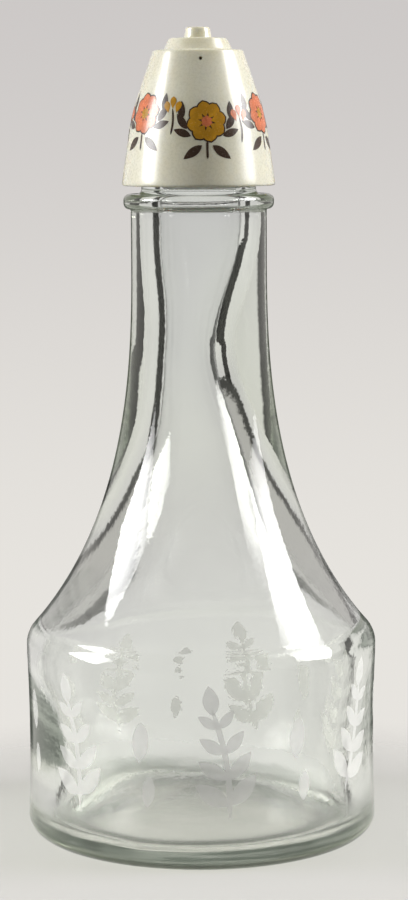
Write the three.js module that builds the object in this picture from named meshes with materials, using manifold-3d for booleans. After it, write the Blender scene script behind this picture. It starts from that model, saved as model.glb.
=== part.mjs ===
// Vinegar shaker bottle: a clear glass bottle with a long flared neck and a conical screw cap.
// The nub on the cap is the sprinkler. A post on the insert in the mouth stops it, and turning the
// cap lifts the nub off the post. Millimetres, +Z up, origin at the middle of the base.
import * as THREE from 'three';
import { mergeVertices } from 'three/addons/utils/BufferGeometryUtils.js';
import Module from 'manifold-3d';

// Glass body and shoulder
const bodyDiameter = 88.8;
const bodyWaist = 0.5; // how far the side draws in at half height
const bodyWall = 4.8;
const baseThickness = 3.8; // from the stand to the edge of the inside floor
const pushUp = 6.4; // hollow under the base
const standWidth = 4.4; // flat ring that the bottle stands on
const heelRound = 4.5;
const floorRound = 4;
const floorCrown = 6; // rise of the inside floor at the middle
const shoulderHeight = 50.9; // corner of body and shoulder, before rounding
const shoulderDegrees = 41.3; // slope of the shoulder from the upright
const shoulderRound = 6;

// Flare and neck
const flareRise = 97.1; // from the shoulder corner to the straight neck
const flareNeckPull = 25; // handle of the flare's curve down the neck
const neckDiameter = 34;
const neckStraight = 10.2;
const boreStraight = 46.5; // from the lip down to where the inside starts to widen
const borePull = 20; // handle of the inside's curve down the bore

// Bead and screw finish of the mouth
const beadDiameter = 37.6;
const beadHeight = 3.7;
const beadRound = 1.5;
const finishDiameter = 28.6;
const finishHeight = 9.6; // from the bead to the lip
const finishFillet = 1.3;
const threadDepth = 1.2; // room that the screw thread takes outside the finish
const mouthDiameter = 19.6; // of the mouth and of the bore down the neck
const lipRound = 1;

// Sprinkler insert
const flangeInset = 0.5; // flange edge inside the edge of the lip
const flangeThickness = 1.2;
const flangeRound = 0.35;
const deckThickness = 1.8;
const plugDepth = 8.5;
const plugWall = 1.4;
const plugLead = 0.7; // chamfer that starts the plug in the mouth
const sealRingHeight = 1;
const sealRingGap = 0.12; // between the sealing rings and the glass
const sealRingDrops = [2.2, 5]; // of the two sealing rings below the lip
const portCount = 4;
const portDiameter = 3;
const portCircle = 12; // diameter of the circle that the ports lie on
const postDiameter = 2.8;
const postRootDiameter = 5.2;
const postRootHeight = 4;

// Seal washer
const washerInnerDiameter = 22.6;
const washerThickness = 1.4;
const washerRound = 0.35;

// Screw cap
const skirtGap = 2.1; // between the bead and the cap
const skirtWall = 3.5; // at the lower edge
const skirtTaperDegrees = 8.7;
const skirtRound = 0.5;
const kneeHeight = 17.5; // where the side turns in, above the lower edge
const kneeRound = 50;
const coneHeight = 33.4;
const coneTaperDegrees = 19;
const coneRimRound = 0.6;
const tierInset = 2.55; // width of the ledge round the tier
const tierHeight = 2.9;
const tierDraw = 1.5; // how much smaller the tier's radius is at its top
const tierRound = 0.45;
const nubHeight = 2.7;
const nubDraw = 0.5; // how much smaller the nub's radius is at its top
const nubRound = 0.4;
const nubWall = 1;
const nubPassage = 0.55; // between the post and the bore of the nub
const orificeDiameter = 2;
const orificeLength = 1.4;
const crownWall = 2.2; // of the cone beside the top of the chamber
const topWall = 1.6;
const chamberRound = 0.8;
const sealLedge = 2.4; // width of the ledge that presses on the washer
const threadLead = 0.6; // chamfer at the lower end of the cap's bore
const ventDiameter = 0.8;
const ventDrop = 2.3; // below the cone's rim
const ventDegrees = 3; // from the front, towards the right

// Fits
const seatGap = 0.3; // between faces that press on each other
const turnGap = 0.3; // between round faces that turn in each other
const plugGap = 0.3; // between the plug and the mouth

// Fineness of the round surfaces
const glassSides = 48;
const capSides = 48;
const innerSides = 32;
const ventSides = 10;
const portSides = 12;
const flareSteps = 11;
const bodySteps = 4;
const domeSteps = 4;
const largeArcSteps = 4;
const arcSteps = 3;
const smallArcSteps = 2;
const weldTolerance = 1e-4;
const filletShare = 0.48; // of the shorter edge beside a rounded corner that its arc may use

// Radii and heights that follow
const bodyRadius = bodyDiameter / 2;
const neckRadius = neckDiameter / 2;
const mouthRadius = mouthDiameter / 2;
const finishRadius = finishDiameter / 2;
const flareTop = shoulderHeight + flareRise;
const beadBottom = flareTop + neckStraight;
const beadTop = beadBottom + beadHeight;
const lip = beadTop + finishHeight;
const insertSeat = lip + seatGap;
const washerSeat = insertSeat + flangeThickness + seatGap;
const capBore = finishRadius + threadDepth + turnGap;
const capBottom = beadTop + skirtGap;
const ledgeHeight = washerSeat + washerThickness + seatGap - capBottom;
const capHeight = coneHeight + tierHeight + nubHeight;
const orificeShelf = capHeight - orificeLength;
const postRadius = postDiameter / 2;
const nubBore = postRadius + nubPassage; // at the top of the nub
const nubTopRadius = nubBore + nubWall;
const nubRadius = nubTopRadius + nubDraw;

// A corner of an outline at a radius and a height, rounded by an arc of the given radius.
function corner(radius, height, round = 0, steps = arcSteps) {
  return { point: new THREE.Vector2(radius, height), round, steps };
}

// The points of the arc that rounds one corner between its two neighbours.
function cornerArc(before, here, after) {
  const back = before.point.clone().sub(here.point);
  const onward = after.point.clone().sub(here.point);
  const shorterEdge = Math.min(back.length(), onward.length());
  back.normalize();
  onward.normalize();
  const halfAngle = Math.acos(THREE.MathUtils.clamp(back.dot(onward), -1, 1)) / 2;
  const reach = Math.min(here.round / Math.tan(halfAngle), filletShare * shorterEdge);
  const radius = reach * Math.tan(halfAngle);
  const middle = back.clone().add(onward).normalize();
  const centre = here.point.clone().addScaledVector(middle, radius / Math.sin(halfAngle));
  const start = here.point.clone().addScaledVector(back, reach);
  const turn = Math.sign(onward.cross(back)) * (Math.PI - 2 * halfAngle);
  const arc = [];
  for (let step = 0; step <= here.steps; step += 1) {
    arc.push(start.clone().rotateAround(centre, (turn * step) / here.steps));
  }
  return arc;
}

// The points of an outline, corner by corner. Its first and last corners stay sharp.
function outline(corners) {
  return corners.flatMap((here, index) => {
    if (here.round === 0) return [here.point];
    return cornerArc(corners[index - 1], here, corners[index + 1]);
  });
}

// A shallow dome from its crown on the axis out to its edge.
function domePoints(edgeRadius, edgeHeight, rise) {
  const points = [];
  for (let step = 0; step <= domeSteps; step += 1) {
    const share = step / domeSteps;
    points.push(new THREE.Vector2(edgeRadius * share, edgeHeight + rise * (1 - share * share)));
  }
  return points;
}

// The straight side of the body, which draws in a little at half height.
function sidePoints(low, high) {
  const points = [];
  for (let step = 1; step < bodySteps; step += 1) {
    const share = step / bodySteps;
    const dip = 4 * bodyWaist * share * (1 - share);
    points.push(new THREE.Vector2(bodyRadius - dip, THREE.MathUtils.lerp(low, high, share)));
  }
  return points;
}

// Points moved inwards by the wall, square to their own line.
function offsetInwards(points, wall) {
  const last = points.length - 1;
  return points.map((point, index) => {
    const before = points[Math.max(index - 1, 0)];
    const after = points[Math.min(index + 1, last)];
    const along = after.clone().sub(before).normalize();
    const outward = new THREE.Vector2(along.y, -along.x);
    return point.clone().addScaledVector(outward, -wall);
  });
}

// A turned solid: the outline revolved about the upright axis.
function revolve(points, sides) {
  return new THREE.LatheGeometry(points, sides).rotateX(Math.PI / 2);
}

const wasm = await Module();
wasm.setup();

// A closed mesh as a solid that can be cut, without the empty triangles that lie on the axis.
function toSolid(geometry) {
  const bare = geometry.clone();
  bare.deleteAttribute('normal');
  bare.deleteAttribute('uv');
  const welded = mergeVertices(bare, weldTolerance);
  const index = welded.index.array;
  const triangles = [];
  for (let first = 0; first < index.length; first += 3) {
    const [a, b, c] = index.slice(first, first + 3);
    if (a !== b && b !== c && c !== a) triangles.push(a, b, c);
  }
  return new wasm.Manifold(new wasm.Mesh({
    numProp: 3,
    vertProperties: new Float32Array(welded.attributes.position.array),
    triVerts: new Uint32Array(triangles),
  }));
}

// A geometry with the cutters taken out of it.
function cut(geometry, cutters) {
  const solid = cutters.reduce((left, cutter) => left.subtract(toSolid(cutter)), toSolid(geometry));
  const mesh = solid.getMesh();
  const result = new THREE.BufferGeometry();
  result.setAttribute('position', new THREE.BufferAttribute(new Float32Array(mesh.vertProperties), 3));
  result.setIndex(new THREE.BufferAttribute(new Uint32Array(mesh.triVerts), 1));
  result.computeVertexNormals();
  return result;
}

// Glass bottle: push-up base, heel, waisted body, shoulder, flare, neck, bead and mouth in one wall.
function glassBottle() {
  const slope = Math.tan(THREE.MathUtils.degToRad(shoulderDegrees));
  const shoulderCorner = corner(bodyRadius, shoulderHeight, shoulderRound, largeArcSteps);
  const slopeMeetsNeck = corner(neckRadius, shoulderHeight + (bodyRadius - neckRadius) / slope);
  const heelTop = corner(bodyRadius, heelRound);
  const shoulderArc = cornerArc(heelTop, shoulderCorner, slopeMeetsNeck);
  const flare = new THREE.CubicBezierCurve(
    shoulderArc.at(-1),
    slopeMeetsNeck.point,
    new THREE.Vector2(neckRadius, flareTop - flareNeckPull),
    new THREE.Vector2(neckRadius, flareTop),
  );
  const flank = [...shoulderArc, ...flare.getPoints(flareSteps).slice(1)];
  const standOuter = bodyRadius - heelRound;
  const standInner = standOuter - standWidth;
  const base = domePoints(standInner, 0, pushUp);
  const heelCorner = corner(bodyRadius, 0, heelRound, largeArcSteps);
  const heel = cornerArc(corner(standInner, 0), heelCorner, shoulderCorner);
  const side = sidePoints(heelRound, shoulderArc[0].y);
  const mouth = outline([
    corner(neckRadius, beadBottom),
    corner(beadDiameter / 2, beadBottom, beadRound),
    corner(beadDiameter / 2, beadTop, beadRound),
    corner(finishRadius, beadTop, finishFillet),
    corner(finishRadius, lip, lipRound),
    corner(mouthRadius, lip, lipRound),
    corner(mouthRadius, beadBottom),
  ]);
  const shoulderInside = offsetInwards(shoulderArc, bodyWall);
  const slopeStart = shoulderInside.at(-1);
  const boreBottom = lip - boreStraight;
  const insideFlare = new THREE.CubicBezierCurve(
    slopeStart,
    new THREE.Vector2(mouthRadius, slopeStart.y + (slopeStart.x - mouthRadius) / slope),
    new THREE.Vector2(mouthRadius, boreBottom - borePull),
    new THREE.Vector2(mouthRadius, boreBottom),
  );
  const inside = [...shoulderInside, ...insideFlare.getPoints(flareSteps).slice(1)].reverse();
  const insideRadius = bodyRadius - bodyWall;
  const floorCorner = corner(insideRadius, baseThickness, floorRound, largeArcSteps);
  const floorArc = cornerArc(corner(insideRadius, shoulderHeight), floorCorner, corner(0, baseThickness));
  const floor = domePoints(floorArc.at(-1).x, baseThickness, floorCrown).reverse().slice(1);
  const outside = [...base, ...heel, ...side, ...flank, ...mouth];
  return revolve([...outside, ...inside, ...floorArc, ...floor], glassSides);
}

// Sprinkler insert: a plug with sealing rings, a deck with ports and the post that stops the nub.
function sprinklerInsert() {
  const plugRadius = mouthRadius - plugGap;
  const ringRadius = mouthRadius - sealRingGap;
  const plugInside = plugRadius - plugWall;
  const deckBottom = flangeThickness - deckThickness;
  const flangeRadius = finishRadius - flangeInset;
  const postTop = capBottom + orificeShelf - seatGap - insertSeat;
  const tipTop = capBottom + capHeight - seatGap - insertSeat;
  const tipRadius = orificeDiameter / 2 - turnGap;
  const sealRing = (drop) => [
    corner(plugRadius, -drop - sealRingHeight),
    corner(ringRadius, -drop - sealRingHeight / 2),
    corner(plugRadius, -drop),
  ];
  const points = outline([
    corner(0, deckBottom),
    corner(plugInside, deckBottom),
    corner(plugInside, -plugDepth),
    corner(plugRadius - plugLead, -plugDepth),
    corner(plugRadius, plugLead - plugDepth),
    ...[...sealRingDrops].reverse().flatMap(sealRing),
    corner(plugRadius, 0),
    corner(flangeRadius, 0, flangeRound, smallArcSteps),
    corner(flangeRadius, flangeThickness, flangeRound, smallArcSteps),
    corner(postRootDiameter / 2, flangeThickness),
    corner(postRadius, flangeThickness + postRootHeight),
    corner(postRadius, postTop),
    corner(tipRadius, postTop),
    corner(tipRadius, tipTop),
    corner(0, tipTop),
  ]);
  const ports = Array.from({ length: portCount }, (_, index) => {
    const drillLength = plugDepth + deckThickness;
    const drill = new THREE.CylinderGeometry(portDiameter / 2, portDiameter / 2, drillLength, portSides);
    drill.rotateX(Math.PI / 2);
    drill.translate(portCircle / 2, 0, deckBottom);
    return drill.rotateZ((index * 2 * Math.PI) / portCount);
  });
  return cut(revolve(points, innerSides), ports);
}

// Seal washer: a soft ring between the insert's flange and the ledge in the cap.
function sealWasher() {
  const outer = capBore - turnGap;
  const inner = washerInnerDiameter / 2;
  const middle = (inner + outer) / 2;
  const points = outline([
    corner(middle, 0),
    corner(outer, 0, washerRound, smallArcSteps),
    corner(outer, washerThickness, washerRound, smallArcSteps),
    corner(inner, washerThickness, washerRound, smallArcSteps),
    corner(inner, 0, washerRound, smallArcSteps),
    corner(middle, 0),
  ]);
  return revolve(points, innerSides);
}

// Screw cap: a cone that turns in at the knee, a stepped top, the chamber, and the bore for the thread.
function screwCap() {
  const skirtFall = Math.tan(THREE.MathUtils.degToRad(skirtTaperDegrees));
  const coneFall = Math.tan(THREE.MathUtils.degToRad(coneTaperDegrees));
  const skirtRadius = capBore + skirtWall;
  const kneeRadius = skirtRadius - skirtFall * kneeHeight;
  const rimRadius = kneeRadius - coneFall * (coneHeight - kneeHeight);
  const tierRadius = rimRadius - tierInset;
  const tierTop = coneHeight + tierHeight;
  const chamberTop = coneHeight - topWall;
  const chamberTopRadius = rimRadius + coneFall * topWall - crownWall;
  const points = outline([
    corner(capBore + threadLead, 0),
    corner(skirtRadius, 0, skirtRound, smallArcSteps),
    corner(kneeRadius, kneeHeight, kneeRound, largeArcSteps),
    corner(rimRadius, coneHeight, coneRimRound),
    corner(tierRadius, coneHeight),
    corner(tierRadius - tierDraw, tierTop, tierRound),
    corner(nubRadius, tierTop),
    corner(nubTopRadius, capHeight, nubRound),
    corner(orificeDiameter / 2, capHeight),
    corner(orificeDiameter / 2, orificeShelf),
    corner(nubBore, orificeShelf),
    corner(nubBore + nubDraw, chamberTop),
    corner(chamberTopRadius, chamberTop, chamberRound),
    corner(capBore - sealLedge, ledgeHeight),
    corner(capBore, ledgeHeight),
    corner(capBore, threadLead),
    corner(capBore + threadLead, 0),
  ]);
  const ventLength = skirtRadius - nubRadius;
  const vent = new THREE.CylinderGeometry(ventDiameter / 2, ventDiameter / 2, ventLength, ventSides);
  vent.translate(0, -nubRadius - ventLength / 2, 0);
  vent.rotateZ(THREE.MathUtils.degToRad(ventDegrees));
  vent.translate(0, 0, coneHeight - ventDrop);
  return cut(revolve(points, capSides), [vent]);
}

// A named piece at its height above the base.
function piece(name, geometry, height, material) {
  const mesh = new THREE.Mesh(geometry, material);
  mesh.name = name;
  mesh.position.z = height;
  return mesh;
}

const clearGlass = new THREE.MeshStandardMaterial({
  color: 0xdfe6e1,
  roughness: 0.04,
  metalness: 0,
  transparent: true,
  opacity: 0.35,
});
const ivoryPlastic = new THREE.MeshStandardMaterial({ color: 0xe4e1cd, roughness: 0.25, metalness: 0 });
const naturalPlastic = new THREE.MeshStandardMaterial({ color: 0xe9ebe6, roughness: 0.5, metalness: 0 });
const sealRubber = new THREE.MeshStandardMaterial({ color: 0xc9c2b2, roughness: 0.8, metalness: 0 });

const closure = new THREE.Group();
closure.add(piece('sprinkler_insert', sprinklerInsert(), insertSeat, naturalPlastic));
closure.add(piece('seal_washer', sealWasher(), washerSeat, sealRubber));
closure.add(piece('screw_cap', screwCap(), capBottom, ivoryPlastic));

const shakerBottle = new THREE.Group();
shakerBottle.add(piece('glass_bottle', glassBottle(), 0, clearGlass));
shakerBottle.add(closure);

export default shakerBottle;
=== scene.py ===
"""Vinegar shaker bottle: thick clear glass with a flared neck, under a screw cap that opens by turning."""
import math

import bmesh
import bpy
from bpy.props import FloatProperty, FloatVectorProperty, IntProperty, PointerProperty
from mathutils import Matrix, Quaternion, Vector, noise
from mathutils.bvhtree import BVHTree
from mathutils.geometry import interpolate_bezier


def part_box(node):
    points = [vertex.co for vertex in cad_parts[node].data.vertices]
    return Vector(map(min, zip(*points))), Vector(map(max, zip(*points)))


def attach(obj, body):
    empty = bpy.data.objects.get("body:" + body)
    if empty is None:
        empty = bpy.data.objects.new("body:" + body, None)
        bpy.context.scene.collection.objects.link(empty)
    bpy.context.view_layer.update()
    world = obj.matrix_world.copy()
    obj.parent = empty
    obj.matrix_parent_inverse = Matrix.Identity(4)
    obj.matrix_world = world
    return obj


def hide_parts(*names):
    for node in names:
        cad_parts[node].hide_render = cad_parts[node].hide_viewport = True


bl_info = {
    "name": "Vinegar Shaker Bottle",
    "version": (1, 0, 0),
    "blender": (4, 5, 0),
    "location": "View3D > Sidebar > Shaker",
    "description": "Builds a glass vinegar shaker bottle with its screw cap, prints and studio",
    "category": "Object",
}

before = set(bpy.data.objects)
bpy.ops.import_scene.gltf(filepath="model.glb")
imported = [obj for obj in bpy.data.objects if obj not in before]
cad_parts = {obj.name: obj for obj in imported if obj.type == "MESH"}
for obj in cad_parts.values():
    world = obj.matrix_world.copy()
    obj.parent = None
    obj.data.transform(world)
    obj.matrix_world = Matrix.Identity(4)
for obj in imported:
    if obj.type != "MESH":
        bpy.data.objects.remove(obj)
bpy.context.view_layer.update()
_, GLASS_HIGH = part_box("glass_bottle")
CAP_LOW, CAP_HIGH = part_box("screw_cap")
WASHER_LOW, WASHER_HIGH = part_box("seal_washer")
INSERT_LOW, INSERT_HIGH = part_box("sprinkler_insert")

MM = 0.001
FULL_TURN = 2 * math.pi
MERGE = 1e-6  # points closer than this are one point
ON_WALL = 0.02 * MM  # points nearer than this to a wall's radius lie on it
SHORTEST_CUT = 0.4 * MM  # shorter edges of a threaded wall stay whole
SHARP = math.radians(34)  # faces that meet at more than this have a hard edge
ROUND_SEGMENTS = 6  # of a rounded corner
DRILL_SIDES = 20
GLASS_STEPS, CAP_STEPS, INSERT_STEPS, WASHER_STEPS = 180, 144, 72, 96  # round each piece
BEND_POINTS, DOME_POINTS = 40, 12  # along the flare, and along the dome of the base
SEAM_DEPTH = 4.0 * MM  # below the lip, where the glass's outside and inside are joined
THREAD_START = 7.2 * MM  # below the lip, the lower end of the thread
THREAD_FADE = 0.12  # of a turn, over which a thread's ends fade
INK_GAP = 0.01 * MM  # between a surface and the ink on it
FIRST_SHARE = 0.12  # of a step, from the front to the first motif
OUTSIDE = 0.1  # a radius beyond every piece

# Lumps in the glass: height and spread, and the share of the hollow's half width taken right and left
LUMPS = (
    (124.0 * MM, 17.0 * MM, 0.40, 0.03),
    (132.0 * MM, 11.0 * MM, 0.0, 0.06),
    (154.0 * MM, 13.0 * MM, -0.07, 0.0),
    (96.0 * MM, 22.0 * MM, 0.02, 0.02),
    (20.0 * MM, 22.0 * MM, 0.04, 0.02),
    (17.0 * MM, 11.0 * MM, 0.0, 0.045),
    (43.0 * MM, 10.0 * MM, 0.0, -0.04),
    (72.0 * MM, 14.0 * MM, 0.0, 0.05),
)
LUMP_DEPTH_SHARE = 0.2  # power by which a lump narrows the hollow front to back
WAVE_HEIGHT, WAVE_SIZE = 0.35 * MM, 11.0 * MM  # of the inside floor
WAVE_FADE = (8.0 * MM, 16.0 * MM)  # heights between which the waves end

CAMERA_PLACE = (0.0010, -0.640, 0.180)
CAMERA_TILT, CAMERA_ROLL = math.radians(82.64), math.radians(-0.3)
SENSOR_WIDTH = 36.0
FLOOR_RADIUS, FLOOR_SIDES = 1.0, 64
SOFTBOX_SPREAD = math.radians(51)  # a narrow spread dims a softbox towards its edges


def metres(name, description, default):
    """A property for a length in metres."""
    return FloatProperty(name=name, description=description, subtype="DISTANCE", default=default, min=0.0)


def slant(name, description, degrees):
    """A property for an angle."""
    return FloatProperty(name=name, description=description, subtype="ANGLE", default=math.radians(degrees))


def paint(name, description, default):
    """A property for a colour."""
    return FloatVectorProperty(name=name, description=description, subtype="COLOR", default=default,
                               min=0.0, max=1.0)


class ShakerGlass(bpy.types.PropertyGroup):
    """Sizes and colours of the glass bottle."""

    body_radius: metres("Body radius", "Outside of the body", GLASS_HIGH[0])
    lip_height: metres("Lip height", "Top of the mouth", GLASS_HIGH[2])
    body_wall: metres("Body wall", "Thickness of the body's glass", 4.8 * MM)
    base_thickness: metres("Base thickness", "Height of the inside floor", 3.8 * MM)
    push_up: metres("Push-up", "Hollow under the base", 6.4 * MM)
    crown: metres("Crown", "Rise of the inside floor to its middle", 6.0 * MM)
    waist: metres("Waist", "How far the side draws in at half height", 0.5 * MM)
    shoulder_height: metres("Shoulder height", "Corner of body and shoulder", 50.9 * MM)
    shoulder_slope: slant("Shoulder slope", "Slope of the shoulder from the upright", 41.3)
    neck_radius: metres("Neck radius", "Outside of the neck", 17.0 * MM)
    bore_radius: metres("Bore radius", "Inside of the neck and mouth", 9.8 * MM)
    bead_radius: metres("Bead radius", "Outside of the bead under the cap", 18.8 * MM)
    finish_radius: metres("Finish radius", "Outside of the mouth at the root of the thread", 14.3 * MM)
    thread_pitch: metres("Thread pitch", "Rise of the thread in one turn", 4.233 * MM)
    thread_depth: metres("Thread depth", "How far the thread stands out", 1.1 * MM)
    colour: paint("Glass", "Tint of the glass surface", (0.996, 0.999, 0.996))
    depth_colour: paint("Deep glass", "Tint of thick glass", (0.54, 0.585, 0.32))


class ShakerCap(bpy.types.PropertyGroup):
    """Sizes and colours of the screw cap and of what lies under it."""

    skirt_radius: metres("Skirt radius", "Outside of the cap's lower edge", CAP_HIGH[0])
    bore_radius: metres("Bore radius", "Inside of the skirt, at the root of the thread", 15.8 * MM)
    thread_depth: metres("Thread depth", "How far the thread stands in", 1.0 * MM)
    vent_radius: metres("Vent radius", "Pinhole near the top of the cone", 0.42 * MM)
    vent_turn: slant("Vent turn", "Turn of the vent from the front, to the right", 3.0)
    colour: paint("Ivory", "Colour of the cap", (0.725, 0.70, 0.565))
    aged_colour: paint("Aged ivory", "Warmer patches of the cap", (0.68, 0.645, 0.49))
    insert_colour: paint("Insert", "Natural plastic of the insert", (0.80, 0.81, 0.76))
    washer_colour: paint("Washer", "Soft rubber of the washer", (0.52, 0.48, 0.40))


class ShakerPrint(bpy.types.PropertyGroup):
    """The printed patterns on the glass and on the cap."""

    film: metres("Ink film", "Thickness of one layer of ink", 0.03 * MM)
    sprig_count: IntProperty(name="Sprigs", description="White sprigs round the glass", default=7, min=1)
    sprig_height: metres("Sprig height", "Length of a white sprig", 27.0 * MM)
    blossom_count: IntProperty(name="Blossoms", description="Blossoms round the cap", default=6, min=1)
    blossom_radius: metres("Blossom radius", "Radius of a blossom on the cap", 5.2 * MM)
    white: paint("White ink", "Print on the glass", (0.94, 0.93, 0.91))
    ochre: paint("Ochre ink", "Large blossoms", (0.43, 0.21, 0.012))
    rust: paint("Rust ink", "Other blossoms and buds", (0.55, 0.15, 0.06))
    brown: paint("Brown ink", "Lines and leaves", (0.045, 0.026, 0.016))


class ShakerStage(bpy.types.PropertyGroup):
    """The floor, the backdrop, the lights and the camera."""

    floor: paint("Floor", "Colour of the floor", (0.59, 0.58, 0.557))
    backdrop_low: paint("Backdrop low", "Backdrop at the level of the floor", (0.80, 0.777, 0.737))
    backdrop_high: paint("Backdrop high", "Backdrop above the bottle", (0.605, 0.58, 0.57))
    softbox: FloatProperty(name="Softbox", description="Power of a softbox", subtype="POWER", default=1.66,
                           min=0.0)
    room: FloatProperty(name="Room", description="Light of the room in front", default=0.08, min=0.0)
    lens: FloatProperty(name="Lens", description="Focal length in millimetres", default=102.0, min=1.0)


def outline(corners):
    """A wire in the plane y = 0 through corners (radius, height, rounding)."""
    bm = bmesh.new()
    points = [Vector((radius, 0.0, height)) for radius, height, _ in corners]
    verts = [bm.verts.new(point) for point in points]
    for pair in zip(verts, verts[1:]):
        bm.edges.new(pair)
    for index, (_, _, rounding) in enumerate(corners):
        if rounding:
            back = points[index - 1] - points[index]
            onward = points[index + 1] - points[index]
            reach = rounding / math.tan(back.angle(onward) / 2)
            bmesh.ops.bevel(bm, geom=[verts[index]], offset=reach, offset_type="OFFSET",
                            segments=ROUND_SEGMENTS, profile=0.5, affect="VERTICES", material=-1)
    return bm


def divide(bm, longest):
    """Cut every edge of a wire that is longer than the given length."""
    for edge in list(bm.edges):
        cuts = int(edge.calc_length() / longest)
        if cuts:
            bmesh.ops.subdivide_edges(bm, edges=[edge], cuts=cuts)


def divide_wall(bm, radius, cuts):
    """Cut the upright edges of a wire at a radius more finely, to carry a thread."""
    wall = [edge for edge in bm.edges
            if all(abs(vert.co.x - radius) < MERGE for vert in edge.verts)
            and edge.calc_length() > SHORTEST_CUT]
    bmesh.ops.subdivide_edges(bm, edges=wall, cuts=cuts)


def bend(start, start_handle, end_handle, end, count):
    """Corners of a smooth curve between two points, without its first point."""
    handles = (start, start_handle, end_handle, end)
    points = interpolate_bezier(*[(radius, height, 0.0) for radius, height in handles], count)
    return [(point[0], point[1], 0.0) for point in points[1:]]


def revolve(bm, steps):
    """Turn a wire about the upright axis into a surface."""
    bmesh.ops.spin(bm, geom=bm.verts[:] + bm.edges[:], cent=(0, 0, 0), axis=(0, 0, 1), dvec=(0, 0, 0),
                   angle=FULL_TURN, steps=steps, use_merge=True, use_duplicate=False)
    bmesh.ops.remove_doubles(bm, verts=bm.verts[:], dist=MERGE)


def face_out(bm):
    """Turn the faces of a bmesh outwards."""
    bmesh.ops.recalc_face_normals(bm, faces=bm.faces[:])


def join(bm, other):
    """Add another bmesh to this one and close the seam between them."""
    mesh = bpy.data.meshes.new("seam")
    other.to_mesh(mesh)
    other.free()
    bm.from_mesh(mesh)
    bpy.data.meshes.remove(mesh)
    bmesh.ops.remove_doubles(bm, verts=bm.verts[:], dist=MERGE)
    bmesh.ops.dissolve_degenerate(bm, edges=bm.edges[:], dist=MERGE)
    face_out(bm)


def placed(name, data):
    """A new object in the scene."""
    thing = bpy.data.objects.new(name, data)
    bpy.context.scene.collection.objects.link(thing)
    return thing


def solid(name, bm):
    """A new object made of a bmesh, which is freed."""
    mesh = bpy.data.meshes.new(name)
    bm.to_mesh(mesh)
    bm.free()
    return placed(name, mesh)


def finish_piece(bm, name, material, body, replaced=None):
    """Make a bmesh an object that rides on a body, smooth but for its hard edges."""
    for face in bm.faces:
        face.smooth = True
    for edge in bm.edges:
        edge.smooth = len(edge.link_faces) == 2 and edge.calc_face_angle(0.0) < SHARP
    piece = solid(name, bm)
    piece.data.materials.append(material)
    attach(piece, body)
    if replaced:
        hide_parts(replaced)


def drilled(bm, drills):
    """A bmesh with round holes cut through it; each drill is (radius, length, matrix)."""
    blank = solid("blank", bm)
    bits = []
    for radius, length, matrix in drills:
        bit = bmesh.new()
        bmesh.ops.create_cone(bit, cap_ends=True, segments=DRILL_SIDES, radius1=radius, radius2=radius,
                              depth=length, matrix=matrix)
        bits.append(solid("bit", bit))
        cut = blank.modifiers.new("drill", "BOOLEAN")
        cut.operation = "DIFFERENCE"
        cut.solver = "EXACT"
        cut.object = bits[-1]
    result = bmesh.new()
    result.from_object(blank, bpy.context.evaluated_depsgraph_get())
    for thing in (blank, *bits):
        mesh = thing.data
        bpy.data.objects.remove(thing)
        bpy.data.meshes.remove(mesh)
    return result


def soft_step(low, high, value):
    """A smooth rise from 0 at low to 1 at high."""
    share = min(max((value - low) / (high - low), 0.0), 1.0)
    return share * share * (3 - 2 * share)


def thread_share(angle, height, first_height, pitch, turns, crest, flank):
    """How much of the thread's depth stands at a place: 1 on its crest and 0 beside it."""
    most = 0.0
    for turn in range(math.ceil(turns) + 1):
        way = angle / FULL_TURN + turn
        if way <= turns:
            off_crest = abs(height - first_height - pitch * way)
            ridge = 1 - soft_step(crest / 2, crest / 2 + flank, off_crest)
            fade = soft_step(0.0, THREAD_FADE, way) * soft_step(0.0, THREAD_FADE, turns - way)
            most = max(most, ridge * fade)
    return most


def add_thread(bm, root, low, high, depth, first_height, pitch, turns, crest, flank):
    """Raise a thread on the round wall of a bmesh between two heights."""
    for vert in bm.verts:
        radius = vert.co.xy.length
        if abs(radius - root) < ON_WALL and low < vert.co.z < high:
            angle = math.atan2(vert.co.y, vert.co.x) % FULL_TURN
            share = thread_share(angle, vert.co.z, first_height, pitch, turns, crest, flank)
            vert.co.xy *= (radius + depth * share) / radius


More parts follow.
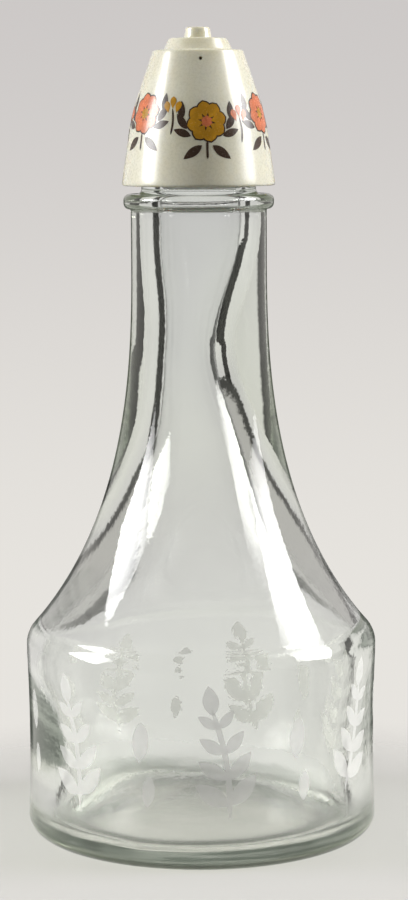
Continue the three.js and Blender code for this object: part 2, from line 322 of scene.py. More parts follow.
class Tree:
    """A material, world or group tree with short ways to add and join nodes."""

    def __init__(self, tree):
        self.tree = tree

    def add(self, kind, **inputs):
        """A new node with its inputs filled."""
        return self.fill(self.tree.nodes.new(kind), **inputs)

    def fill(self, node, **inputs):
        """Set inputs, or join them to sockets; named with low lines for blanks, or numbered as in_1."""
        for key, value in inputs.items():
            socket = node.inputs[int(key[3:]) if key.startswith("in_") else key.replace("_", " ")]
            if isinstance(value, bpy.types.NodeSocket):
                self.tree.links.new(value, socket)
            else:
                socket.default_value = value
        return node

    def math(self, operation, *values):
        """The result of a Math node."""
        node = self.add("ShaderNodeMath")
        node.operation = operation
        return self.fill(node, **{f"in_{index}": value for index, value in enumerate(values)}).outputs[0]

    def both(self, first, second):
        """Two masks times each other."""
        return self.math("MULTIPLY", first, second)

    def spread(self, value, low, high, to_low=0.0, to_high=1.0):
        """A value mapped smoothly from one range to another."""
        node = self.add("ShaderNodeMapRange", Value=value, From_Min=low, From_Max=high, To_Min=to_low,
                        To_Max=to_high)
        node.interpolation_type = "SMOOTHSTEP"
        return node.outputs["Result"]

    def between(self, value, rise, fall):
        """A mask with two soft edges, each given as the value where it is 0 and the one where it is 1."""
        return self.both(self.spread(value, *rise), self.spread(value, *fall))

    def grain(self, place, scale, detail, **inputs):
        """The value of a Noise Texture."""
        node = self.add("ShaderNodeTexNoise", Vector=place, Scale=scale, Detail=detail, **inputs)
        return node.outputs["Fac"]

    def mix(self, share, first, second):
        """A mix of two colours."""
        node = self.add("ShaderNodeMix")
        node.data_type = "RGBA"
        return self.fill(node, in_0=share, in_6=first, in_7=second).outputs[2]

    def mix_shaders(self, share, first, second):
        """The output of a mix of two shader nodes."""
        return self.add("ShaderNodeMixShader", Fac=share, in_1=first, in_2=second).outputs[0]


def rgba(colour):
    """A colour property with full alpha."""
    return (*colour, 1.0)


def scaled(colour, factor):
    """The parts of a colour property times a factor, but not above 1."""
    return [min(1.0, factor * part) for part in colour]


def tinted(colour, factors):
    """A colour property with each part times its factor, with full alpha."""
    return rgba([part * factor for part, factor in zip(colour, factors)])


def mottle_group():
    """Group: soft patches between two colours, with a fine grain for gloss and bump."""
    name = "shaker_mottle"
    if name in bpy.data.node_groups:
        return bpy.data.node_groups[name]
    group = bpy.data.node_groups.new(name, "ShaderNodeTree")
    sockets = {
        ("INPUT", "NodeSocketColor"): ("Colour", "Patch Colour"),
        ("INPUT", "NodeSocketFloat"): ("Patch Scale", "Grain Scale", "Gloss Low", "Gloss High"),
        ("OUTPUT", "NodeSocketColor"): ("Colour",),
        ("OUTPUT", "NodeSocketFloat"): ("Roughness", "Height"),
    }
    for (side, kind), labels in sockets.items():
        for label in labels:
            group.interface.new_socket(label, in_out=side, socket_type=kind)
    tree = Tree(group)
    given = tree.add("NodeGroupInput").outputs
    place = tree.add("ShaderNodeTexCoord").outputs["Object"]
    patches = tree.grain(place, given["Patch Scale"], 3.0)
    grain = tree.grain(place, given["Grain Scale"], 4.0)
    share = tree.spread(patches, 0.38, 0.66)
    rough = tree.add("ShaderNodeMapRange", Value=grain, From_Min=0.3, From_Max=0.7,
                     To_Min=given["Gloss Low"], To_Max=given["Gloss High"])
    tree.add("NodeGroupOutput", Colour=tree.mix(share, given["Colour"], given["Patch Colour"]),
             Roughness=rough.outputs["Result"], Height=grain)
    return group


def material_tree(name):
    """A new material's tree, with its Principled shader and its output."""
    material = bpy.data.materials.new(name)
    material.use_nodes = True
    material.node_tree.nodes.clear()
    tree = Tree(material.node_tree)
    shader = tree.add("ShaderNodeBsdfPrincipled")
    output = tree.add("ShaderNodeOutputMaterial", Surface=shader.outputs[0])
    return material, tree, shader, output


def moulded_material(name, colour, patch_colour, patch_scale, grain_scale, gloss, bump, **plain):
    """Mottled plastic, rubber or ink with uneven gloss, a fine grain and other plain inputs."""
    material, tree, shader, _ = material_tree(name)
    group = tree.add("ShaderNodeGroup")
    group.node_tree = mottle_group()
    mottle = tree.fill(group, Colour=rgba(colour), Patch_Colour=rgba(patch_colour), Patch_Scale=patch_scale,
                       Grain_Scale=grain_scale, Gloss_Low=gloss[0], Gloss_High=gloss[1]).outputs
    relief = tree.add("ShaderNodeBump", Strength=bump, Distance=0.1 * MM, Height=mottle["Height"])
    tree.fill(shader, Base_Color=mottle["Colour"], Roughness=mottle["Roughness"], Normal=relief.outputs[0],
              **plain)
    return material


def squared(*radii):
    """Squares of radii in millimetres, in square metres."""
    return [(radius * MM) ** 2 for radius in radii]


def glass_material(sizes):
    """Clear thick glass: rippled, grooved and streaked with painted shade at its heel, greyed by painted
    shade in the neck, with a painted contact shadow where it stands and a painted grey glow where light is
    caught, and open to the lamps' light.
    """
    material, tree, shader, output = material_tree("clear_glass")
    place = tree.add("ShaderNodeTexCoord").outputs["Object"]
    spot = tree.add("ShaderNodeSeparateXYZ", Vector=place).outputs
    height = spot["Z"]
    across = tree.math("ADD", tree.both(spot["X"], spot["X"]), tree.both(spot["Y"], spot["Y"]))
    layers = tree.add("ShaderNodeVectorMath", in_0=place, in_1=(22.0, 22.0, 950.0))
    layers.operation = "MULTIPLY"
    streaks = tree.grain(layers.outputs[0], 1.0, 3.0)
    ripple = tree.grain(place, 85.0, 2.0, Roughness=0.45)
    flow = tree.grain(place, 700.0, 2.0)

    # Relief: a slow ripple, a finer flow, and grooves round the heel
    flow_share, groove_depth, groove_heights = 0.22, 1.2, (8.0 * MM, 3.0 * MM)
    grooves = tree.both(streaks, tree.spread(height, *groove_heights, 0.0, groove_depth))
    relief = tree.math("MULTIPLY_ADD", flow, flow_share, tree.math("ADD", ripple, grooves))
    bump = tree.add("ShaderNodeBump", Strength=0.22, Distance=0.35 * MM, Height=relief)
    tree.fill(shader, Normal=bump.outputs[0])

    # Tint: a faint veil, painted shade that greys the glass in the neck, painted dark streaks of shade
    # outside the heel, and a painted dark line of contact shadow at its foot
    veil, neck_shade_tint = tree.spread(ripple, 0.35, 0.65), tinted(sizes.colour, (0.947, 0.947, 0.959))
    heel_shade_tint, foot_shade_tint = (0.29, 0.33, 0.30, 1.0), (0.07, 0.08, 0.07, 1.0)
    tint = tree.mix(veil, rgba(sizes.colour), rgba(scaled(sizes.colour, 0.985)))
    # Painted shade: the glass turns greyer upwards into the neck
    tint = tree.mix(tree.spread(height, 95.0 * MM, 125.0 * MM), tint, neck_shade_tint)
    # Painted shade: thin dark streaks round the outside of the heel
    heel_shade_streaks = tree.both(tree.spread(streaks, 0.47, 0.55), tree.spread(height, 7.5 * MM, 5.0 * MM))
    heel_shade = tree.both(heel_shade_streaks, tree.spread(across, *squared(40.4, 41.0)))
    # Painted contact shadow: a dark line on the glass just above where it stands
    foot_shade = tree.between(height, (0.4 * MM, 0.9 * MM), (2.6 * MM, 1.6 * MM))
    tint = tree.mix(heel_shade, tint, heel_shade_tint)
    tree.fill(shader, Base_Color=tree.mix(foot_shade, tint, foot_shade_tint))

    # Gloss: the inside floor is pressed and less clear, most of all at the back
    dome_curve, dome_heights = 5.36, (7.4 * MM, 8.2 * MM)
    pressed_rough, back_rough = 0.20, 0.50
    above_dome = tree.spread(tree.math("MULTIPLY_ADD", across, dome_curve, height), *dome_heights)
    inside = tree.both(above_dome, tree.spread(across, *squared(42.0, 41.0)))
    pressed = tree.both(inside, tree.spread(height, 15.0 * MM, 8.0 * MM))
    behind = tree.both(tree.spread(across, *squared(28.0, 36.0)), tree.spread(spot["Y"], 5.0 * MM, 20.0 * MM))
    rough = tree.both(pressed, tree.math("MULTIPLY_ADD", behind, back_rough, pressed_rough))
    tree.fill(shader, Roughness=rough)
    shader.inputs["IOR"].default_value = 1.52
    shader.inputs["Transmission Weight"].default_value = 1.0

    # Lamps shine through to the floor, and rays caught in the glass after many mirrorings end in a painted
    # soft grey glow, streaked darker and lighter
    most_mirrorings = 3.5
    glow_dark, glow_light = (0.13, 0.15, 0.135, 1.0), (0.40, 0.43, 0.405, 1.0)
    path = tree.add("ShaderNodeLightPath").outputs
    light = tree.math("MAXIMUM", path["Is Shadow Ray"], path["Is Diffuse Ray"])
    clear = tree.add("ShaderNodeBsdfTransparent", Color=(0.99, 0.995, 0.99, 1.0))
    blend = tree.mix_shaders(light, shader.outputs[0], clear.outputs[0])
    glow_colour = tree.mix(tree.spread(streaks, 0.35, 0.65), glow_dark, glow_light)
    # Painted glow: this Emission shader stands in for light caught in the glass
    inner = tree.add("ShaderNodeEmission", Color=glow_colour)
    lost = tree.math("GREATER_THAN", path["Glossy Depth"], most_mirrorings)
    depth = tree.add("ShaderNodeVolumeAbsorption", Color=rgba(sizes.depth_colour), Density=10.0)
    surface = tree.mix_shaders(lost, blend, inner.outputs[0])
    tree.fill(output, Surface=surface, Volume=depth.outputs[0])
    return material


def uneven(vert):
    """Move a point of the bottle's inner wall where the glass is thicker or thinner on one side."""
    right = left = 1.0
    for height, spread, right_lump, left_lump in LUMPS:
        fall = math.exp(-((vert.co.z - height) / spread) ** 2)
        right -= fall * right_lump
        left -= fall * left_lump
    radius = vert.co.xy.length
    narrow = (right + left) / 2
    vert.co.x = vert.co.x * narrow + radius * (right - left) / 2
    vert.co.y *= narrow ** LUMP_DEPTH_SHARE
    low = 1 - soft_step(*WAVE_FADE, vert.co.z)
    vert.co.z += WAVE_HEIGHT * low * noise.noise(vert.co / WAVE_SIZE)


class SHAKER_OT_bottle(bpy.types.Operator):
    """Glass bottle with its bead, screw finish and uneven inner wall"""

    bl_idname = "shaker.bottle"
    bl_label = "Glass bottle"

    shoulder_rounding = 6.0 * MM
    arc_in, arc_up = 1.493 * MM, 1.7 * MM  # from the shoulder's corner to where its rounding ends

    def outer_wall(self, sizes):
        """The outside of the glass, from the middle of the base over the lip into the mouth."""
        body, lip, neck = sizes.body_radius, sizes.lip_height, sizes.neck_radius
        bore, bead, finish = sizes.bore_radius, sizes.bead_radius, sizes.finish_radius
        shoulder, push = sizes.shoulder_height, sizes.push_up
        heel, stand = 4.5 * MM, 35.5 * MM
        bead_top = lip - 9.6 * MM
        bead_low = bead_top - 3.7 * MM
        flare_top = bead_low - 10.2 * MM
        flare_handle = flare_top - 25.0 * MM
        bead_rounding, lip_rounding = 1.5 * MM, 1.0 * MM
        arc_end = (body - self.arc_in, shoulder + self.arc_up)
        slope_meets_neck = (neck, shoulder + (body - neck) / math.tan(sizes.shoulder_slope))
        dome_handles = (stand / 3, push), (2 * stand / 3, 2 * push / 3)
        wire = outline([
            (0.0, push, 0.0),
            *bend((0.0, push), *dome_handles, (stand, 0.0), DOME_POINTS),
            (body, 0.0, heel),
            (body, shoulder, self.shoulder_rounding),
            *bend(arc_end, slope_meets_neck, (neck, flare_handle), (neck, flare_top), BEND_POINTS),
            (neck, bead_low, 0.5 * MM),
            (bead, bead_low, bead_rounding),
            (bead, bead_top, bead_rounding),
            (finish, bead_top, 1.3 * MM),
            (finish, lip, lip_rounding),
            (bore, lip, lip_rounding),
            (bore, lip - SEAM_DEPTH, 0.0),
        ])
        divide(wire, 3.0 * MM)
        for vert in wire.verts:
            share = (vert.co.z - heel) / (shoulder - 2 * heel)
            if abs(vert.co.x - body) < MERGE and 0 < share < 1:
                vert.co.x -= 4 * sizes.waist * share * (1 - share)
        divide_wall(wire, finish, 7)
        revolve(wire, GLASS_STEPS)
        add_thread(wire, finish, bead_top, lip, sizes.thread_depth, first_height=lip - THREAD_START,
                   pitch=sizes.thread_pitch, turns=1.35, crest=0.7 * MM, flank=0.9 * MM)
        return wire

    def inner_wall(self, sizes):
        """The inside of the glass, from the mouth down to the middle of the floor."""
        lip, bore, shoulder = sizes.lip_height, sizes.bore_radius, sizes.shoulder_height
        floor, crown = sizes.base_thickness, sizes.crown
        hollow = sizes.body_radius - sizes.body_wall
        slope_start = (hollow - self.arc_in, shoulder + self.arc_up)
        rise = (slope_start[0] - bore) / math.tan(sizes.shoulder_slope)
        slope_meets_bore = (bore, slope_start[1] + rise)
        bore_low = lip - 46.5 * MM
        bore_handle = bore_low - 20.0 * MM
        corner = 4.0 * MM
        flat = hollow - corner
        top = floor + crown
        dome_handles = (2 * flat / 3, floor + 2 * crown / 3), (flat / 3, top)
        wire = outline([
            (bore, lip - SEAM_DEPTH, 0.0),
            (bore, bore_low, 0.0),
            *bend((bore, bore_low), (bore, bore_handle), slope_meets_bore, slope_start, BEND_POINTS),
            (hollow, shoulder, self.shoulder_rounding),
            (hollow, floor, corner),
            (flat, floor, 0.0),
            *bend((flat, floor), *dome_handles, (0.0, top), DOME_POINTS),
        ])
        divide(wire, 2.0 * MM)
        revolve(wire, GLASS_STEPS)
        below_seam = lip - SEAM_DEPTH - 0.1 * MM
        for vert in wire.verts:
            if vert.co.z < below_seam:
                uneven(vert)
        return wire

    def execute(self, context):
        sizes = context.scene.shaker_glass
        bm = self.outer_wall(sizes)
        join(bm, self.inner_wall(sizes))
        finish_piece(bm, "glass_bottle_fine", glass_material(sizes), "bottle", "glass_bottle")
        return {"FINISHED"}


class SHAKER_OT_cap(bpy.types.Operator):
    """Conical screw cap with its stepped top, nub, vent and inner thread"""

    bl_idname = "shaker.cap"
    bl_label = "Screw cap"

    def execute(self, context):
        sizes, glass = context.scene.shaker_cap, context.scene.shaker_glass
        low, top = CAP_LOW[2], CAP_HIGH[2]
        bore, lead = sizes.bore_radius, 0.6 * MM
        knee = (16.622 * MM, low + 17.5 * MM)
        rim, rim_height = 11.147 * MM, low + 33.4 * MM
        tier, tier_top = rim - 2.55 * MM, rim_height + 2.9 * MM
        orifice, orifice_seam, orifice_low = 1.0 * MM, top - 0.7 * MM, top - 1.4 * MM
        longest = 1.5 * MM
        outer = outline([
            (bore + lead, low, 0.0),
            (sizes.skirt_radius, low, 0.55 * MM),
            (*knee, 50.0 * MM),
            (rim, rim_height, 0.7 * MM),
            (tier, rim_height, 0.35 * MM),
            (tier - 1.5 * MM, tier_top, 0.5 * MM),
            (3.45 * MM, tier_top, 0.3 * MM),
            (2.95 * MM, top, 0.45 * MM),
            (orifice, top, 0.2 * MM),
            (orifice, orifice_seam, 0.0),
        ])
        divide(outer, longest)
        revolve(outer, CAP_STEPS)
        ledge = WASHER_HIGH[2] + 0.3 * MM
        ceiling = rim_height - 1.6 * MM
        inner = outline([
            (orifice, orifice_seam, 0.0),
            (orifice, orifice_low, 0.0),
            (1.95 * MM, orifice_low, 0.0),
            (2.45 * MM, ceiling, 0.0),
            (9.5 * MM, ceiling, 0.8 * MM),
            (bore - 2.4 * MM, ledge, 0.0),
            (bore, ledge, 0.0),
            (bore, low + lead, 0.0),
            (bore + lead, low, 0.0),
        ])
        divide(inner, longest)
        divide_wall(inner, bore, 4)
        revolve(inner, CAP_STEPS)
        pitch = glass.thread_pitch
        add_thread(inner, bore, low + lead + 0.05 * MM, ledge - 0.4 * MM, -sizes.thread_depth,
                   first_height=glass.lip_height - THREAD_START + pitch / 2, pitch=pitch, turns=1.2,
                   crest=0.5 * MM, flank=0.75 * MM)
        join(outer, inner)
        vent_length = 7.0 * MM
        turn = Matrix.Rotation(sizes.vent_turn, 4, "Z")
        place = Matrix.Translation((0.0, -11.5 * MM, rim_height - 2.3 * MM))
        vent = (sizes.vent_radius, vent_length, turn @ place @ Matrix.Rotation(math.pi / 2, 4, "X"))
        bm = drilled(outer, [vent])
        material = moulded_material(
            "ivory_plastic", sizes.colour, sizes.aged_colour, patch_scale=60.0, grain_scale=1800.0,
            gloss=(0.24, 0.32), bump=0.02, Coat_Weight=0.5, Coat_Roughness=0.14, Subsurface_Weight=0.3,
            Subsurface_Radius=(1.0, 0.85, 0.6), Subsurface_Scale=3.0 * MM)
        finish_piece(bm, "screw_cap_fine", material, "cap", "screw_cap")
        return {"FINISHED"}


class SHAKER_OT_insert(bpy.types.Operator):
    """Sprinkler insert: plug with sealing rings, deck with ports and the post that stops the nub"""

    bl_idname = "shaker.insert"
    bl_label = "Sprinkler insert"

    def execute(self, context):
        sizes, glass = context.scene.shaker_cap, context.scene.shaker_glass
        mouth = glass.bore_radius
        seat = glass.lip_height + 0.3 * MM
        plug, ring = mouth - 0.3 * MM, mouth - 0.12 * MM
        tube = plug - 1.4 * MM
        chamfer = 0.7 * MM
        flange = 13.8 * MM
        top = seat + 1.2 * MM
        deck = top - 1.8 * MM
        post, pin = 1.4 * MM, 0.7 * MM
        low, tip = INSERT_LOW[2], INSERT_HIGH[2]
        pin_low = tip - 1.4 * MM
        rings, half = [], 0.5 * MM
        for middle in (seat - 5.5 * MM, seat - 2.7 * MM):
            rings += [(plug, middle - half, 0.0), (ring, middle, 0.2 * MM), (plug, middle + half, 0.0)]
        bm = outline([
            (0.0, deck, 0.0),
            (tube, deck, 0.4 * MM),
            (tube, low, 0.25 * MM),
            (plug - chamfer, low, 0.25 * MM),
            (plug, low + chamfer, 0.0),
            *rings,
            (plug, seat, 0.0),
            (flange, seat, 0.35 * MM),
            (flange, top, 0.35 * MM),
            (2.6 * MM, top, 0.5 * MM),
            (post, top + 4.0 * MM, 2.0 * MM),
            (post, pin_low, 0.15 * MM),
            (pin, pin_low, 0.1 * MM),
            (pin, tip, 0.15 * MM),
            (0.0, tip, 0.0),
        ])
        divide(bm, 2.5 * MM)
        revolve(bm, INSERT_STEPS)
        face_out(bm)
        port_radius, port_length, port_count = 1.5 * MM, 5.0 * MM, 4
        place = Matrix.Translation((6.0 * MM, 0.0, deck))
        turns = [Matrix.Rotation(FULL_TURN * index / port_count, 4, "Z") for index in range(port_count)]
        bm = drilled(bm, [(port_radius, port_length, turn @ place) for turn in turns])
        darker = scaled(sizes.insert_colour, 0.94)
        material = moulded_material(
            "natural_plastic", sizes.insert_colour, darker, patch_scale=90.0, grain_scale=2200.0,
            gloss=(0.38, 0.5), bump=0.05, Subsurface_Weight=0.25, Subsurface_Scale=1.0 * MM)
        finish_piece(bm, "sprinkler_insert_fine", material, "insert", "sprinkler_insert")
        return {"FINISHED"}


class SHAKER_OT_washer(bpy.types.Operator):
    """Soft seal washer with a fine rib on each face"""

    bl_idname = "shaker.washer"
    bl_label = "Seal washer"

    def execute(self, context):
        sizes = context.scene.shaker_cap
        low, high = WASHER_LOW[2], WASHER_HIGH[2]
        inner, outer = 11.3 * MM, WASHER_HIGH[0]
        rib, dip, half = (inner + outer) / 2, 0.12 * MM, 0.6 * MM

        def face(ground, crest):
            """Corners of one face, from its inner to its outer edge."""
            return [
                (inner, ground, 0.3 * MM),
                (rib - half, ground, 0.2 * MM),
                (rib, crest, 0.15 * MM),
                (rib + half, ground, 0.2 * MM),
                (outer, ground, 0.35 * MM),
            ]

        middle = (inner, (low + high) / 2, 0.0)
        bm = outline([middle, *face(low + dip, low), *reversed(face(high - dip, high)), middle])
        revolve(bm, WASHER_STEPS)
        face_out(bm)
        darker = scaled(sizes.washer_colour, 0.8)
        material = moulded_material("seal_rubber", sizes.washer_colour, darker, patch_scale=140.0,
                                    grain_scale=1500.0, gloss=(0.62, 0.8), bump=0.15)
        finish_piece(bm, "seal_washer_fine", material, "washer", "seal_washer")
        return {"FINISHED"}


def off(centre, x, y, angle=0.0):
    """A point at x and y from a centre, in axes turned by an angle."""
    return (centre[0] + x * math.cos(angle) - y * math.sin(angle),
            centre[1] + x * math.sin(angle) + y * math.cos(angle))


class Print:
    """Flat shapes of one ink, laid on the outside of a turned piece."""

    def __init__(self, carrier, layer, wrap):
        mesh = carrier.data
        faces = [polygon.vertices for polygon in mesh.polygons]
        self.tree = BVHTree.FromPolygons([vert.co for vert in mesh.vertices], faces)
        self.bm = bmesh.new()
        self.layer = layer
        self.wrap = wrap

    def blade(self, centre, angle, length, width, shape, rows=14, columns=4, curve=0.0):
        """A shape along a line: centre is (way round, height), shape gives its half width along it."""
        grid = bmesh.ops.create_grid(self.bm, x_segments=columns, y_segments=rows, size=0.5)["verts"]
        for vert in grid:
            side, way = vert.co.x * 2, vert.co.y + 0.5
            x = side * shape(way) * width / 2 + curve * length * math.sin(math.pi * way)
            around, height = off(centre, x, (way - 0.5) * length, angle)
            self.lay(vert, around / self.wrap, height)

    def lay(self, vert, turn, height):
        """Put a point on the carrier's outside, at a turn from the front and a height."""
        outward = Vector((math.sin(turn), -math.cos(turn), 0.0))
        start = outward * OUTSIDE + Vector((0.0, 0.0, height))
        spot, normal, _, _ = self.tree.ray_cast(start, -outward)
        if spot is None:
            raise RuntimeError(f"no surface under the print at height {height:.4f}")
        vert.co = spot + normal * self.layer

    def done(self, name, material, body, film):
        """Give the shapes the thickness of the ink and make them a piece."""
        bm = self.bm
        bmesh.ops.remove_doubles(bm, verts=bm.verts[:], dist=MERGE)
        bmesh.ops.dissolve_degenerate(bm, edges=bm.edges[:], dist=MERGE)
        for face in bm.faces:
            middle = face.calc_center_median()
            if face.normal.dot(Vector((middle.x, middle.y, 0.0))) < 0:
                face.normal_flip()
        bmesh.ops.solidify(bm, geom=bm.faces[:], thickness=-film)
        face_out(bm)
        finish_piece(bm, name, material, body)


def leaf(way):
    """Half width of a pointed leaf along its length."""
    return math.sin(math.pi * way) ** 0.8 * (1.15 - 0.3 * way)


def drop(way):
    """Half width of a drop, round below and pointed above."""
    return math.sqrt(max(1 - (1 - way) ** 6, 0.0)) * math.sqrt(max(way, 0.0)) * (1 - way) ** 0.55 * 1.6


def stem(way):
    """Half width of a thin stem with soft ends."""
    return min(1.0, 6 * way + 0.25, 6 * (1 - way) + 0.25)


def petal(way):
    """Half width of a petal, narrow at the middle of its blossom."""
    return math.sin(math.pi * min(way, 1.0) ** 1.6) ** 0.7


class SHAKER_OT_glass_print(bpy.types.Operator):
    """White sprigs and drops printed round the glass"""

    bl_idname = "shaker.glass_print"
    bl_label = "Glass print"

    middle_height = 27.5 * MM
    bow = 0.05  # of a stem, as a share of its length
    rungs = 4
    leaf_tilt = math.radians(48)

    def sprig(self, ink, middle, lean, tall):
        """A bowed stem with pairs of leaves, smaller towards its head."""
        ink.blade(middle, lean, tall, 1.5 * MM, stem, rows=20, columns=2, curve=self.bow)
        for rung in range(self.rungs):
            way, size = 0.14 + 0.22 * rung, 1.0 - 0.14 * rung
            bow = self.bow * tall * math.sin(math.pi * way)
            reach = 5.4 * MM * size * math.sin(self.leaf_tilt)
            for side in (-1, 1):
                spot = off(middle, bow + side * reach, (way - 0.5) * tall + 2.6 * MM, lean)
                ink.blade(spot, lean - side * self.leaf_tilt, 9.8 * MM * size, 4.4 * MM * size, leaf)
        head = off(middle, 0.0, 0.5 * tall + 2.4 * MM, lean)
        ink.blade(head, lean, 7.5 * MM, 4.0 * MM, leaf)

    def execute(self, context):
        inks = context.scene.shaker_print
        radius = context.scene.shaker_glass.body_radius
        white = Print(bpy.data.objects["glass_bottle_fine"], INK_GAP, radius)
        step = FULL_TURN * radius / inks.sprig_count
        for index in range(inks.sprig_count):
            lean, rise = (math.radians(-14), 1.6 * MM) if index % 2 else (math.radians(9), -0.6 * MM)
            middle = ((index + FIRST_SHARE) * step, self.middle_height + rise)
            self.sprig(white, middle, lean, inks.sprig_height)
            for x, y, length, width in ((0.0, 5.0, 10.0, 5.6), (2.0, -7.0, 7.5, 4.2)):
                spot = off(middle, step / 2 + x * MM, y * MM)
                white.blade(spot, -lean / 2, length * MM, width * MM, drop, rows=20, columns=6)
        material = moulded_material("white_print", inks.white, scaled(inks.white, 1.06), patch_scale=300.0,
                                    grain_scale=2500.0, gloss=(0.34, 0.5), bump=0.05, Alpha=0.27)
        white.done("glass_print", material, "bottle", inks.film)
        return {"FINISHED"}


class SHAKER_OT_cap_print(bpy.types.Operator):
    """Garland of ochre and rust blossoms with brown leaves printed round the cap"""

    bl_idname = "shaker.cap_print"
    bl_label = "Cap print"

    wrap = 17.0 * MM  # radius of the cap at the middle of the garland
    middle_height = 16.6 * MM  # above the cap's lower edge

    def blossom(self, spot, radius, edging, ink, heart_ink):
        """Petals with a dark edging round a small heart."""
        petals, heart_petals, first_turn, inset = 8, 6, 0.2, 0.84
        for number in range(petals):
            turn = FULL_TURN * number / petals + first_turn
            middle = off(spot, 0.0, 0.56 * radius, turn)
            for layer, grown in ((edging, radius), (ink, inset * radius)):
                layer.blade(middle, turn, 0.9 * grown, 0.72 * grown, petal, rows=10, columns=4)
        for number in range(heart_petals):
            turn = FULL_TURN * number / heart_petals
            middle = off(spot, 0.0, 0.13 * radius, turn)
            heart_ink.blade(middle, turn, 0.3 * radius, 0.24 * radius, petal, rows=6, columns=2)

    def leaves(self, ink, spot, radius):
        """Leaves beside a blossom and under it, and its stem."""
        down = math.pi
        for side in (-1, 1):
            for rung in range(3):
                tilt = side * math.radians(-70 + 34 * rung)
                place = off(spot, side * (1.16 * radius + 0.2 * MM * rung), (rung - 1) * 2.7 * MM)
                ink.blade(place, tilt, 4.6 * MM, 1.9 * MM, leaf, rows=8, columns=3)
            place = off(spot, side * 3.4 * MM, -1.42 * radius)
            ink.blade(place, down + side * math.radians(52), 5.4 * MM, 2.1 * MM, leaf, rows=8, columns=3)
        ink.blade(off(spot, 0.0, -1.32 * radius), down, 4.2 * MM, 0.55 * MM, stem, rows=8, columns=2)

    def buds(self, ink, stem_ink, spot):
        """Three buds on a stem between two blossoms."""
        for number in (-1, 0, 1):
            place = off(spot, number * 1.5 * MM, (2.6 - 1.1 * abs(number)) * MM)
            ink.blade(place, -0.3 * number, 3.0 * MM, 1.7 * MM, petal, rows=8, columns=3)
        middle = off(spot, 0.0, -2.0 * MM)
        stem_ink.blade(middle, 0.0, 6.2 * MM, 0.5 * MM, stem, rows=10, columns=2, curve=0.06)

    def execute(self, context):
        inks = context.scene.shaker_print
        cap = bpy.data.objects["screw_cap_fine"]
        film, radius = inks.film, inks.blossom_radius
        brown = Print(cap, INK_GAP, self.wrap)
        ochre, rust = Print(cap, INK_GAP + film, self.wrap), Print(cap, INK_GAP + film, self.wrap)
        step = FULL_TURN * self.wrap / inks.blossom_count
        for index in range(inks.blossom_count):
            ink, other, rise = (rust, ochre, 1.2 * MM) if index % 2 else (ochre, rust, -0.8 * MM)
            spot = ((index + FIRST_SHARE) * step, CAP_LOW[2] + self.middle_height + rise)
            self.blossom(spot, radius, brown, ink, other)
            self.leaves(brown, spot, radius)
            self.buds(other, brown, off(spot, step / 2, 0.0))
        for ink, name in ((brown, "brown"), (ochre, "ochre"), (rust, "rust")):
            colour = getattr(inks, name)
            material = moulded_material(f"{name}_print", colour, scaled(colour, 1.3), patch_scale=420.0,
                                        grain_scale=2500.0, gloss=(0.2, 0.3), bump=0.02)
            ink.done(f"cap_print_{name}", material, "cap", film)
        return {"FINISHED"}


def floor_material(stage):
    """Pale floor that fades into the backdrop round the bottle, and sooner where seen through the glass."""
    material, tree, shader, output = material_tree("stage_floor")
    place = tree.add("ShaderNodeTexCoord").outputs["Object"]
    far = tree.add("ShaderNodeVectorMath", in_0=place)
    far.operation = "LENGTH"
    shade = tree.mix(tree.grain(place, 900.0, 2.0), rgba(stage.floor), rgba(scaled(stage.floor, 0.98)))
    tree.fill(shader, Base_Color=shade)
    shader.inputs["Roughness"].default_value = 0.7
    shader.inputs["Specular IOR Level"].default_value = 0.2
    fade_start, fade_end = 0.055, 0.13
    start_through, end_through = 0.035, 0.07
    through = tree.add("ShaderNodeLightPath").outputs["Is Transmission Ray"]
    near = tree.math("MULTIPLY_ADD", through, start_through - fade_start, fade_start)
    reach = tree.math("MULTIPLY_ADD", through, end_through - fade_end, fade_end)
    edge = tree.spread(far.outputs["Value"], near, reach)
    clear = tree.add("ShaderNodeBsdfTransparent")
    tree.fill(output, Surface=tree.mix_shaders(edge, shader.outputs[0], clear.outputs[0]))
    return material


def radians(*degrees):
    """Angles in radians."""
    return [math.radians(angle) for angle in degrees]


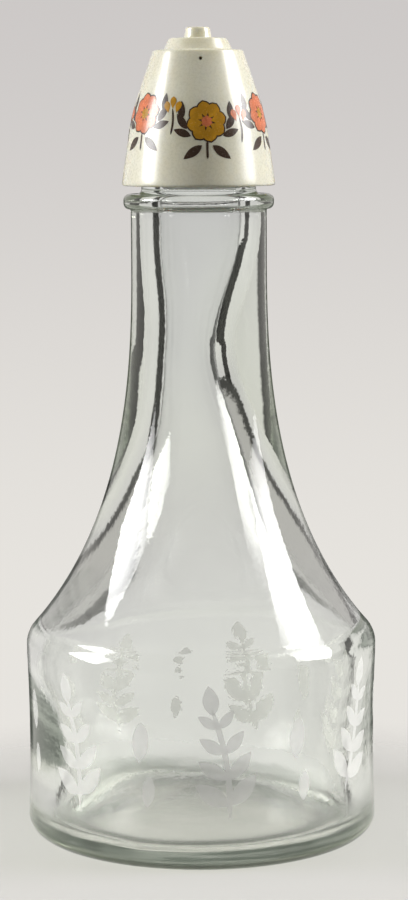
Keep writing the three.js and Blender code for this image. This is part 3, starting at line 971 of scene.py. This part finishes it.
def studio_world(stage):
    """A backdrop by height, with dark gaps and flags beside it that only the glass shows, and a dim front."""
    world = bpy.data.worlds.new("studio")
    world.use_nodes = True
    world.node_tree.nodes.clear()
    tree = Tree(world.node_tree)
    place = tree.add("ShaderNodeTexCoord").outputs["Generated"]
    way = tree.add("ShaderNodeSeparateXYZ", Vector=place).outputs
    up = way["Z"]
    turn = tree.math("ARCTAN2", way["X"], way["Y"])  # from straight behind the bottle, to the right
    aside = tree.math("ABSOLUTE", turn)
    front = tree.spread(way["Y"], 0.1, -0.4)
    rise = tree.spread(up, *[math.sin(angle) for angle in radians(-12, 4)])
    paper = tree.mix(rise, rgba(stage.backdrop_low), rgba(stage.backdrop_high))

    # What surfaces mirror: the backdrop, dark low behind the bottle, which gives the glass a fine outline
    mirrored_front, flag_grey = (0.10, 0.10, 0.095, 1.0), (0.05, 0.05, 0.048, 1.0)
    ahead = tree.both(tree.spread(aside, *radians(30, 20)), tree.spread(up, 0.06, 0.0))
    mirrored = tree.mix(ahead, tree.mix(front, paper, mirrored_front), flag_grey)

    # What is seen through the glass: the backdrop, gaps and flags beside it, and a dark band above
    gap_grey, band_grey = (0.03, 0.03, 0.028, 1.0), (0.07, 0.07, 0.066, 1.0)
    lit_front = (0.36, 0.355, 0.345, 1.0)
    top_back, top_front = (0.50, 0.49, 0.475, 1.0), (0.30, 0.295, 0.285, 1.0)
    lit_low = tinted(stage.backdrop_low, (1.0, 1.03, 1.045))
    lit_high = tinted(stage.backdrop_high, (1.15, 1.185, 1.20))
    low_gap, high_gap, gap_edges, gap_rise = (46, 74), (39, 56), radians(3, 4), (-0.26, -0.17)
    start, end = [tree.spread(up, *gap_rise, *radians(low, high)) for low, high in zip(low_gap, high_gap)]
    right_gap = tree.between(turn, (start, tree.math("ADD", start, gap_edges[0])),
                             (tree.math("ADD", end, gap_edges[1]), end))
    left_gap = tree.between(turn, radians(-46, -51), radians(-74, -69))
    flags = tree.between(aside, radians(77, 81), radians(118, 112))
    band = tree.both(tree.spread(up, 0.065, 0.095), tree.spread(way["Y"], -0.3, 0.0))
    through = tree.mix(front, tree.mix(rise, lit_low, lit_high), lit_front)
    through = tree.mix(tree.math("ADD", right_gap, left_gap), through, gap_grey)
    through = tree.mix(flags, through, flag_grey)
    through = tree.mix(band, through, band_grey)
    through = tree.mix(tree.spread(up, 0.150, 0.190), through, tree.mix(front, top_back, top_front))

    bounce_back, bounce_front = (0.26, 0.255, 0.245, 1.0), rgba([stage.room] * 3)
    path = tree.add("ShaderNodeLightPath").outputs
    seen = tree.mix(path["Is Glossy Ray"], tree.mix(front, bounce_back, bounce_front), mirrored)
    seen = tree.mix(path["Is Transmission Ray"], seen, through)
    seen = tree.mix(path["Is Camera Ray"], seen, paper)
    light = tree.add("ShaderNodeBackground", Color=seen)
    tree.add("ShaderNodeOutputWorld", Surface=light.outputs[0])
    return world


def softbox(name, place, aim, roll, width, height, power):
    """A rectangular lamp turned to a point and rolled about that line, not seen by the camera itself."""
    lamp = bpy.data.lights.new(name, "AREA")
    lamp.shape = "RECTANGLE"
    lamp.size = width
    lamp.size_y = height
    lamp.energy = power
    lamp.spread = SOFTBOX_SPREAD
    holder = placed(name, lamp)
    holder.location = place
    towards = (Vector(aim) - Vector(place)).to_track_quat("-Z", "Y")
    holder.rotation_euler = (towards @ Quaternion((0.0, 0.0, 1.0), roll)).to_euler()
    holder.visible_camera = False


class SHAKER_OT_stage(bpy.types.Operator):
    """Pale floor and backdrop, two softboxes and the camera"""

    bl_idname = "shaker.stage"
    bl_label = "Stage"

    def execute(self, context):
        scene = context.scene
        stage = scene.shaker_stage
        scene.view_settings.view_transform = "Standard"
        bm = bmesh.new()
        bmesh.ops.create_circle(bm, cap_ends=True, segments=FLOOR_SIDES, radius=FLOOR_RADIUS)
        floor = solid("floor", bm)
        floor.data.materials.append(floor_material(stage))
        scene.world = studio_world(stage)
        softbox("softbox_left", place=(-0.78, -0.145, 0.435), aim=(0.0, -0.12, 0.13), roll=math.radians(-19),
                width=0.46, height=0.37, power=0.64 * stage.softbox)
        softbox("softbox_right", place=(0.78, -0.04, 0.55), aim=(0.0, -0.04, 0.13), roll=math.radians(-25),
                width=0.47, height=0.70, power=0.98 * stage.softbox)
        lens = bpy.data.cameras.new("camera")
        lens.lens = stage.lens
        lens.sensor_width = SENSOR_WIDTH
        camera = placed("camera", lens)
        turned = Matrix.Rotation(CAMERA_TILT, 4, "X") @ Matrix.Rotation(CAMERA_ROLL, 4, "Z")
        camera.matrix_world = Matrix.Translation(CAMERA_PLACE) @ turned
        scene.camera = camera
        return {"FINISHED"}


class SHAKER_PT_sidebar(bpy.types.Panel):
    """Sizes, colours and steps of the shaker bottle"""

    bl_idname = "SHAKER_PT_sidebar"
    bl_label = "Shaker Bottle"
    bl_space_type = "VIEW_3D"
    bl_region_type = "UI"
    bl_category = "Shaker"

    def draw(self, context):
        for key in GROUPS:
            group = getattr(context.scene, key)
            box = self.layout.box()
            for name in group.__annotations__:
                box.prop(group, name)
        for operator in OPERATORS:
            self.layout.operator(operator.bl_idname)


GROUPS = {
    "shaker_glass": ShakerGlass,
    "shaker_cap": ShakerCap,
    "shaker_print": ShakerPrint,
    "shaker_stage": ShakerStage,
}
OPERATORS = (
    SHAKER_OT_stage,
    SHAKER_OT_bottle,
    SHAKER_OT_glass_print,
    SHAKER_OT_insert,
    SHAKER_OT_washer,
    SHAKER_OT_cap,
    SHAKER_OT_cap_print,
)
CLASSES = (*GROUPS.values(), *OPERATORS, SHAKER_PT_sidebar)


def register():
    """Register the classes and hang the property groups on the scene."""
    for entry in CLASSES:
        bpy.utils.register_class(entry)
    for name, group in GROUPS.items():
        setattr(bpy.types.Scene, name, PointerProperty(type=group))


def unregister():
    """Take the property groups and the classes away again."""
    for name in GROUPS:
        delattr(bpy.types.Scene, name)
    for entry in reversed(CLASSES):
        bpy.utils.unregister_class(entry)


def main():
    """Register the classes and build everything in order."""
    register()
    bpy.ops.shaker.stage()
    bpy.ops.shaker.bottle()
    bpy.ops.shaker.glass_print()
    bpy.ops.shaker.insert()
    bpy.ops.shaker.washer()
    bpy.ops.shaker.cap()
    bpy.ops.shaker.cap_print()


if __name__ == "__main__":
    main()
